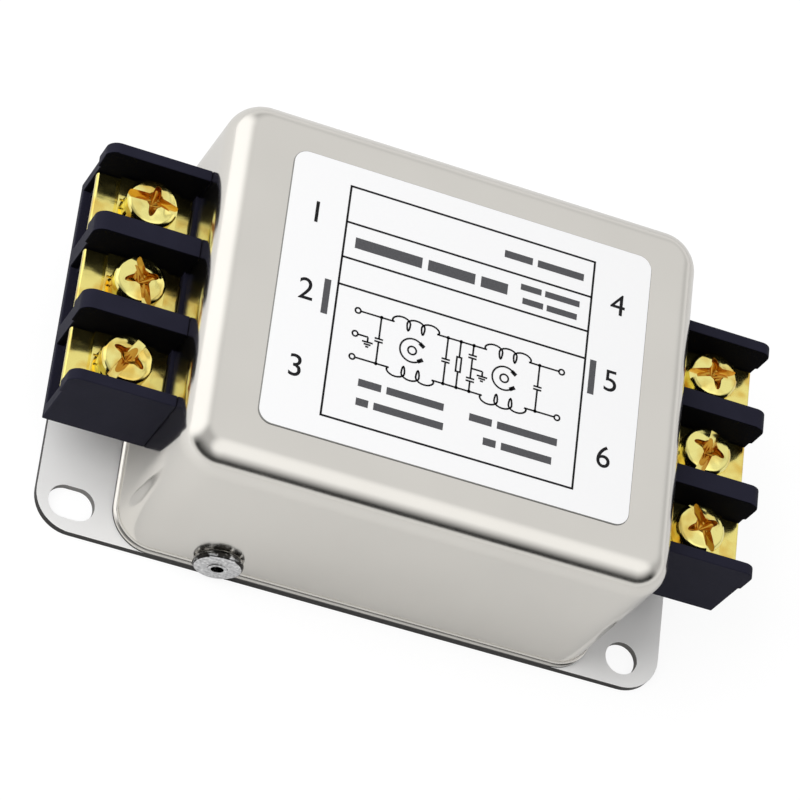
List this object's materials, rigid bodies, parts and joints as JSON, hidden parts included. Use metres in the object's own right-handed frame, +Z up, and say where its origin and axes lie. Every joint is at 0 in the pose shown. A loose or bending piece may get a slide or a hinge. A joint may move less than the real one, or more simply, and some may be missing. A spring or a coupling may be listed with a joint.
{
  "type": "emi line filter",
  "caption": "Mains line filter in a drawn steel can on a flanged base plate, with a black three-way screw terminal block at each end.",
  "frame": {"origin": "middle of the base plate's underside", "axes": "+X along the length towards the load end, +Y across to the rear long side, +Z up out of the base"},
  "size_m": [0.0908, 0.054, 0.0285],
  "materials": {
    "plated_can": "smooth semi-gloss nickel plate on drawn steel",
    "plated_plate": "bright plated steel sheet",
    "rivet_aluminium": "bright rim and matte face",
    "label_film": "matte white film",
    "black_moulding": "moulded, slight sheen",
    "terminal_brass": "bright stamped",
    "clamp_brass": "bright stamped",
    "washer_brass": "bright",
    "screw_brass": "bright, formed head",
    "nut_steel": "zinc plated",
    "tray_moulding": "moulded",
    "board_laminate": "green solder resist",
    "core_ferrite": "coated ferrite",
    "enamelled_copper": "clear enamel on copper",
    "capacitor_box": "moulded box",
    "ceramic_coat": "dipped coating",
    "resistor_coat": "dipped coating",
    "earth_sleeve": "sleeved wire"
  },
  "bodies": {
    "root": {"case": "plated_can", "base_plate": "plated_plate", "case_rivets": "rivet_aluminium", "rating_label": "label_film", "line_terminal_block": "black_moulding", "load_terminal_block": "black_moulding", "line_terminal_1": "terminal_brass", "line_terminal_2": "terminal_brass", "line_terminal_3": "terminal_brass", "load_terminal_1": "terminal_brass", "load_terminal_2": "terminal_brass", "load_terminal_3": "terminal_brass", "line_clamp_plates": "clamp_brass", "load_clamp_plates": "clamp_brass", "line_spring_washers": "washer_brass", "load_spring_washers": "washer_brass", "line_terminal_screws": "screw_brass", "load_terminal_screws": "screw_brass", "line_terminal_nuts": "nut_steel", "load_terminal_nuts": "nut_steel", "insulating_tray": "tray_moulding", "circuit_board": "board_laminate", "line_choke_core": "core_ferrite", "line_choke_divider": "tray_moulding", "line_choke_live_winding": "enamelled_copper", "line_choke_neutral_winding": "enamelled_copper", "load_choke_core": "core_ferrite", "load_choke_divider": "tray_moulding", "load_choke_live_winding": "enamelled_copper", "load_choke_neutral_winding": "enamelled_copper", "line_x_capacitor": "capacitor_box", "middle_x_capacitor": "capacitor_box", "load_x_capacitor": "capacitor_box", "line_y_capacitor": "ceramic_coat", "load_y_capacitor": "ceramic_coat", "bleed_resistor": "resistor_coat", "earth_lug": "plated_plate", "earth_lead": "earth_sleeve"}
  },
  "joints": []
}
